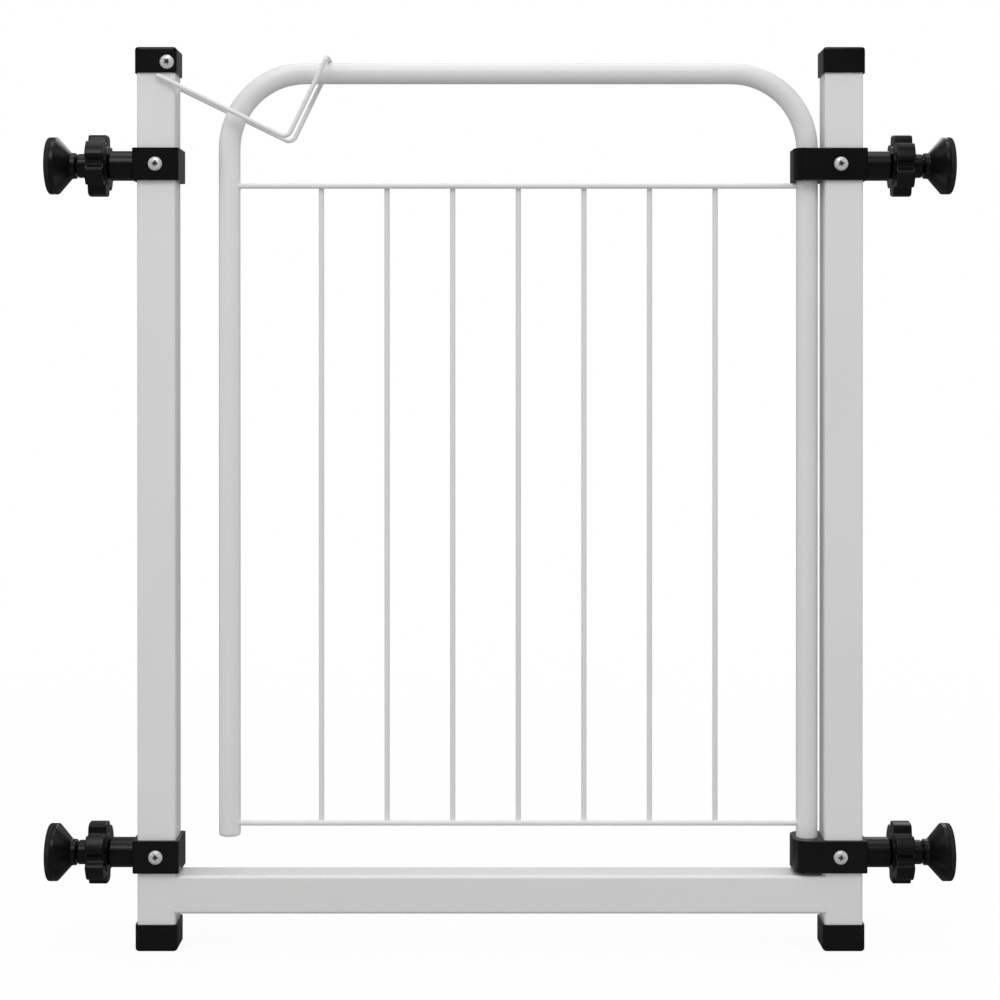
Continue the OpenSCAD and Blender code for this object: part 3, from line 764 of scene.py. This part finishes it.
def spot_tree():
    """Flat, uneven nuggets of metal pressed out at the host's points, where two wires are spot welded."""
    here, given = new_tree("spot_welds", Size="Vector", Seed="Int")
    drop = here.node("GeometryNodeMeshIcoSphere", {"Radius": 0.5, "Subdivisions": 3})
    scale = given["Size"].scaled(here.random(0.88, 1.08, given["Seed"]))
    spots = {"Points": given["Host"], "Instance": drop, "Scale": scale}
    placed = here.node("GeometryNodeInstanceOnPoints", spots).realized()
    lumps = here.position().noise(700.0) - 0.5
    swell = here.node("GeometryNodeInputNormal").scaled(lumps * 0.0006)
    placed = here.node("GeometryNodeSetPosition", {"Geometry": placed, "Offset": swell})
    return end_tree(placed, given["Finish"], sharp=80)


def wire_tree():
    """Round wire bent along the host's edges, each corner to the radius that its point holds."""
    here, given = new_tree("bent_wire", Diameter="Float", Sides="Int")
    path = here.node("GeometryNodeMeshToCurve", {"Mesh": given["Host"]})
    bend = here.node("GeometryNodeInputNamedAttribute", {"Name": "bend"}, data_type="FLOAT")
    path = here.node("GeometryNodeFilletCurve", {"Curve": path, "Count": 12, "Radius": bend}, mode="POLY")
    return end_tree(sweep(path, given["Sides"], given["Diameter"] / 2), given["Finish"])


# Section of a ground weld: how far along the rail from the post, and how high in the groove
GROUND_SECTION = ((0.0004, -0.5), (0.0004, 0.9), (0.0004, 1.0), (-0.0008, 1.0), (-0.0018, 1.0),
                  (-0.0026, 1.0), (-0.0030, 1.0), (-0.0029, 0.9), (-0.0018, 0.55), (-0.0004, 0.0),
                  (-0.0002, -0.5))
GROUND_PROUD = 0.00001  # How far a ground weld stands out of the tubes' fronts


def ground_weld(end, inward):
    """Rings of the metal that fills the groove between the post's rounded corner and the rail's end,
    flush with both."""
    low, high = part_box("bottom_rail")
    straight, bend = 4, 8  # Steps over half of the rail's flat front, and over one of its corners
    middle = (high.z - low.z) / 2 - TUBE_CORNER
    rings = []
    for step in range(-straight - bend, straight + bend + 1):
        away = max(abs(step) - straight, 0) / bend
        reach = math.sqrt(max(1 - away * away, 0.0))
        rise = min(abs(step), straight) / straight * middle + TUBE_CORNER * away
        z = (low.z + high.z) / 2 + math.copysign(1, step) * rise
        rings.append([(end + inward * x, low.y + TUBE_CORNER - (TUBE_CORNER * reach + GROUND_PROUD) * y, z)
                      for x, y in GROUND_SECTION])
    return rings


# Operators


class GATE_OT_paint(Operator):
    """Paint the posts, the rail, the door's tube, its bars and its crossbars"""
    bl_idname = "gate.paint"
    bl_label = "Paint Tubes and Wires"

    def execute(self, context):
        coat(TUBES + CROSSBARS + BARS, "paint")
        return {"FINISHED"}


class GATE_OT_latch(Operator):
    """Bend the latch loop from one wire"""
    bl_idname = "gate.latch"
    bl_label = "Latch"

    def execute(self, context):
        latch = context.scene.gate_latch
        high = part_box("latch_loop")[1]
        pivot = next(Vector(joint["pos_m"]) for joint in frame["record"]["behaviour"]["joints"]
                     if joint["name"] == "latch_lift")
        side = high.y - latch.wire / 2
        top = Vector((high.x - latch.wire / 2, 0, high.z - latch.wire / 2))
        span = (top - pivot).length
        slope = math.atan2(top.z - pivot.z, top.x - pivot.x) - math.asin(latch.riser / span)
        arm = Vector((math.sqrt(span ** 2 - latch.riser ** 2), 0, 0))
        elbow = pivot + Matrix.Rotation(-slope, 3, "Y") @ arm
        # Corners of one half, from a pivot end to the crossbar: place, distance to the side, bend radius
        half = [(pivot, latch.pivot, 0.0), (pivot, side, latch.corner), (elbow, side, latch.elbow),
                (top, side, latch.corner)]
        whole = [(spot.x, -y, spot.z, bend) for spot, y, bend in half]
        whole += [(spot.x, y, spot.z, bend) for spot, y, bend in reversed(half)]
        host = path_mesh([[corner[:3] for corner in whole]])
        bends = [corner[3] for corner in whole]
        host.attributes.new("bend", "FLOAT", "POINT").data.foreach_set("value", bends)
        grow("bent_latch_loop", wire_tree(), host, "paint", "latch", ["latch_loop"],
             Diameter=latch.wire, Sides=24)
        return {"FINISHED"}


class GATE_OT_rail_welds(Operator):
    """Weld the rail to the posts: rippled beads over, behind and under it, and a ground joint in front"""
    bl_idname = "gate.rail_welds"
    bl_label = "Rail Welds"

    def execute(self, context):
        weld = context.scene.gate_weld
        low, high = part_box("bottom_rail")
        rise = weld.bead * 0.3  # How far a bead's middle stands out of the rail
        reach = TUBE_CORNER + rise
        back = high.y - TUBE_CORNER
        rows = []
        for end, inward in ((low.x, 1), (high.x, -1)):
            x = end + inward * weld.bead * 0.25  # A little clear of the post
            row = [(x, low.y + TUBE_CORNER, high.z + rise)]
            for z, start in ((high.z - TUBE_CORNER, 90), (low.z + TUBE_CORNER, 0)):
                row += [(x, back + reach * cos, z + reach * sin)
                        for cos, sin in arc(start, start - 90, -BEAD_STEP)]
            rows.append(row + [(x, low.y + TUBE_CORNER, low.z - rise)])
        grow("rail_weld_beads", bead_tree(), path_mesh(rows), "paint", "frame", Radius=weld.bead,
             Ripple=weld.ripple)
        for name, end, inward in (("left_ground_weld", low.x, 1), ("right_ground_weld", high.x, -1)):
            skin(name, ground_weld(end, inward), "paint", "frame")
        return {"FINISHED"}


class GATE_OT_door_welds(Operator):
    """Weld the crossbars to the legs and the bars to the crossbars"""
    bl_idname = "gate.door_welds"
    bl_label = "Door Welds"

    def execute(self, context):
        weld = context.scene.gate_weld
        low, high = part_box("door_tube")
        leg = size("door_leg_plug").x / 2  # A leg's radius, which its plug has too
        rings, spots = [], []
        for crossbar in CROSSBARS:
            bar = centre(crossbar)
            reach = radius_of(crossbar) + weld.small * 0.4  # From the crossbar's axis to the bead's middle
            for x, inward in ((low.x + leg, 1), (high.x - leg, -1)):
                ring = [(bar.y + reach * cos, bar.z + reach * sin)
                        for cos, sin in arc(0, 360 - BEAD_STEP, BEAD_STEP)]
                rings.append([(x + inward * math.sqrt(leg * leg - y * y), y, z) for y, z in ring])
            spots += [(centre(name).x, 0.0, bar.z) for name in BARS]
        grow("crossbar_end_welds", bead_tree(), path_mesh(rings, closed=True), "paint", "door",
             Radius=weld.small, Ripple=weld.ripple)
        grow("bar_spot_welds", spot_tree(), host_mesh(spots), "paint", "door", Size=tuple(weld.spot),
             Seed=weld.seed)
        return {"FINISHED"}


class GATE_OT_caps(Operator):
    """Mould the four post caps, hollow and with rounded ends"""
    bl_idname = "gate.caps"
    bl_label = "Post Caps"

    def execute(self, context):
        cap = context.scene.gate_cap
        # Rings over the closed end's rounding: how far each is inset, and how far from that end
        section = [(cap.edge * (1 - sin), cap.edge * (1 - cos)) for cos, sin in arc(0, 90, CAP_STEP)]
        section = [(cap.edge + STRIP, 0)] + section + [(0, cap.edge + STRIP)]
        for node in CAPS:
            low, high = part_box(node)
            tall = high.z - low.z
            shut, mouth = (high.z, low.z) if "top" in node else (low.z, high.z)
            deep = math.copysign(1, mouth - shut)
            # The open end, and back inside to the end wall
            rows = section + [(0, tall), (cap.wall, tall), (cap.wall, cap.end)]
            rings = [rounded_square(centre(node), (high.x - low.x) / 2 - inset, cap.corner - inset,
                                    shut + deep * far) for inset, far in rows]
            skin(f"{node}_moulding", rings, "plastic", "frame", [node])
        return {"FINISHED"}


class GATE_OT_brackets(Operator):
    """Finish the four brackets"""
    bl_idname = "gate.brackets"
    bl_label = "Brackets"

    def execute(self, context):
        coat(BRACKETS, "plastic")
        return {"FINISHED"}


class GATE_OT_leg_plugs(Operator):
    """Finish the plugs under the door's legs"""
    bl_idname = "gate.leg_plugs"
    bl_label = "Leg Plugs"

    def execute(self, context):
        coat(PLUGS, "plug")
        return {"FINISHED"}


class GATE_OT_screws(Operator):
    """Drive the five cross-head screws"""
    bl_idname = "gate.screws"
    bl_label = "Screws"

    def execute(self, context):
        screw = context.scene.gate_screw
        whole = size(SCREWS[0])
        points = [(centre(node).x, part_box(node)[0].y + screw.dome, centre(node).z) for node in SCREWS]
        grow("cross_head_screws", screw_tree(), host_mesh(points), "zinc", "frame", SCREWS,
             Head=whole.x / 2, Dome=screw.dome, Length=whole.y - screw.dome, Shank=screw.shank / 2,
             Pitch=screw.pitch, Recess=screw.recess, Arm=screw.arm, Depth=screw.depth, Seed=screw.seed)
        return {"FINISHED"}


class GATE_OT_spindles(Operator):
    """Cut the four threaded spindles"""
    bl_idname = "gate.spindles"
    bl_label = "Spindles"

    def execute(self, context):
        parts = context.scene.gate_adjuster
        tree = turned_tree("threaded_rod", threaded, sharp=60, Pitch="Float", Depth="Float")
        for corner in CORNERS:
            profile = spindle_profile(corner, parts.pitch / THREAD_STEPS)
            grow_on_axis(corner, "threaded_spindle", "spindle", "adjuster", tree, profile,
                         Sides=40, Pitch=parts.pitch, Depth=parts.thread)
        return {"FINISHED"}


class GATE_OT_hand_nuts(Operator):
    """Mould the four lobed hand nuts"""
    bl_idname = "gate.hand_nuts"
    bl_label = "Hand Nuts"

    def execute(self, context):
        parts = context.scene.gate_adjuster
        tree = notched_tree()
        for corner, turn in zip(CORNERS, parts.turns):
            grow_on_axis(corner, "lobed_nut", "hand_nut", "nut", tree, nut_profile(corner, parts),
                         Sides=264, Notches=parts.lobes, Spread=parts.spread, Turn=side_of(corner) * turn)
        return {"FINISHED"}


class GATE_OT_cups(Operator):
    """Mould the four wall cups and finish their rubber pads"""
    bl_idname = "gate.cups"
    bl_label = "Wall Cups"

    def execute(self, context):
        parts = context.scene.gate_adjuster
        tree = notched_tree()
        for corner in CORNERS:
            grow_on_axis(corner, "flared_cup", "cup", "adjuster", tree, cup_profile(corner, parts),
                         Sides=96, Notches=1, Spread=0.1)
        coat([f"{corner}_wall_pad" for corner in CORNERS], "rubber")
        return {"FINISHED"}


# Each soft light's place, aim, width and height, the setting that powers it, and whether gloss mirrors it
LIGHTS = {
    "softbox_key": ((-0.25, -1.75, 2.25), (0, 0, 0.30), 1.6, 1.0, "key", True),
    "softbox_left": ((-2.2, -1.2, 1.15), (0, 0, 0.34), 2.4, 2.2, "side", False),
    "softbox_right": ((2.2, -1.2, 1.15), (0, 0, 0.34), 2.4, 2.2, "side", False),
    "softbox_top": ((0, 0.1, 2.6), (0, 0, 0.3), 1.8, 1.4, "top", True),
    "softbox_back": ((0.3, 2.3, 1.9), (0, 0, 0.34), 1.8, 1.4, "back", True),
}
FLOOR_RADIUS = 14.0


def soft_light(stage, name, place, aim, width, height, setting, mirrored):
    data = bpy.data.lights.new(name, "AREA")
    data.shape, data.size, data.size_y = "RECTANGLE", width, height
    data.energy = getattr(stage, setting)
    light = add_object(name, data)
    light.location = place
    light.rotation_euler = (Vector(aim) - Vector(place)).to_track_quat("-Z", "Y").to_euler()
    light.visible_glossy = mirrored


def ray(here, kind):
    """1 for rays of one kind, and 0 for the others."""
    return here.node("ShaderNodeLightPath", output=f"Is {kind} Ray")


def stage_floor():
    """A wide pale floor that melts into the white behind it."""
    mesh = bpy.data.meshes.new("studio_floor")
    shape = bmesh.new()
    bmesh.ops.create_circle(shape, cap_ends=True, radius=FLOOR_RADIUS, segments=96)
    shape.to_mesh(mesh)
    shape.free()
    material, here = new_finish("pale_studio_floor")
    x, y, _ = here.axes()
    away = (x * x + y * y).root().ramp(0.25, 2.0)
    seen = ray(here, "Camera")
    # Pale to the camera, and darker in what it throws back at the gate and in what gloss mirrors
    tone = seen.blend(grey(0.40), grey(0.94))
    tone = ray(here, "Glossy").blend(tone, grey(0.13))
    matt = here.node("ShaderNodeBsdfDiffuse", {"Color": tone})
    glow = (0.93 + away * 0.07) * seen
    mixed = here.node("ShaderNodeMixShader", {0: glow, 1: matt, 2: here.node("ShaderNodeEmission")})
    here.node("ShaderNodeOutputMaterial", {0: mixed})
    mesh.materials.append(material)
    add_object("studio_floor", mesh)


def stage_air(fill):
    """The light from all round: white to the camera, an even fill to matt surfaces, and to gloss ones
    nearly dark in front and brighter behind."""
    world = bpy.data.worlds.new("studio")
    here = bare(world)
    seen, mirrored = ray(here, "Camera"), ray(here, "Glossy")
    _, behind, _ = here.node("ShaderNodeTexCoord", output="Generated").axes()
    gleam = 0.035 + behind.ramp(-0.1, 0.6) * 0.13
    light = fill * (1 - mirrored) + gleam * mirrored
    air = here.node("ShaderNodeBackground", {"Color": grey(1), "Strength": light * (1 - seen) + seen})
    here.node("ShaderNodeOutputWorld", {0: air})
    return world


def front_camera(stage):
    """A nearly level camera above the gate's middle, whose view is shifted down to it, not tilted."""
    data = bpy.data.cameras.new("front_camera")
    data.lens, data.sensor_width, data.shift_y = stage.lens, 36.0, -0.13
    data.clip_start, data.clip_end = 0.05, 60.0
    camera = add_object("front_camera", data)
    camera.location = (0, -stage.distance, stage.height)
    camera.rotation_euler = (math.pi / 2 - stage.pitch, 0, 0)
    return camera


class GATE_OT_stage(Operator):
    """Set the floor, the lights and the camera"""
    bl_idname = "gate.stage"
    bl_label = "Stage"

    def execute(self, context):
        stage = context.scene.gate_stage
        stage_floor()
        for name, row in LIGHTS.items():
            soft_light(stage, name, *row)
        context.scene.world = stage_air(stage.fill)
        context.scene.view_settings.view_transform = "Standard"
        context.scene.camera = front_camera(stage)
        return {"FINISHED"}


SETTINGS = {
    "gate_paint": PaintSettings, "gate_plastic": PlasticSettings, "gate_zinc": ZincSettings,
    "gate_screw": ScrewSettings, "gate_adjuster": AdjusterSettings, "gate_cap": CapSettings,
    "gate_latch": LatchSettings, "gate_weld": WeldSettings, "gate_stage": StageSettings,
}
OPERATORS = (
    GATE_OT_stage, GATE_OT_paint, GATE_OT_latch, GATE_OT_rail_welds, GATE_OT_door_welds, GATE_OT_caps,
    GATE_OT_brackets, GATE_OT_leg_plugs, GATE_OT_screws, GATE_OT_spindles, GATE_OT_hand_nuts,
    GATE_OT_cups,
)


class GATE_PT_panel(Panel):
    """Lists the gate's settings and the steps that dress it"""
    bl_idname = "GATE_PT_panel"
    bl_label = "Pet Gate"
    bl_space_type = "VIEW_3D"
    bl_region_type = "UI"
    bl_category = "Pet Gate"

    def draw(self, context):
        for key in SETTINGS:
            group = getattr(context.scene, key)
            box = self.layout.box()
            for prop in group.bl_rna.properties:
                if prop.identifier not in ("rna_type", "name"):
                    box.prop(group, prop.identifier)
        for operator in OPERATORS:
            self.layout.operator(operator.bl_idname)


def register():
    for group in SETTINGS.values():
        bpy.utils.register_class(group)
    for key, group in SETTINGS.items():
        setattr(bpy.types.Scene, key, PointerProperty(type=group))
    for kind in OPERATORS + (GATE_PT_panel,):
        bpy.utils.register_class(kind)


def unregister():
    for kind in reversed(OPERATORS + (GATE_PT_panel,)):
        bpy.utils.unregister_class(kind)
    for key, group in SETTINGS.items():
        delattr(bpy.types.Scene, key)
        bpy.utils.unregister_class(group)


def main():
    register()
    for operator in OPERATORS:
        name = operator.bl_idname.split(".")[1]
        if getattr(bpy.ops.gate, name)() != {"FINISHED"}:
            raise RuntimeError(f"{operator.bl_label} did not finish")


if __name__ == "__main__":
    main()
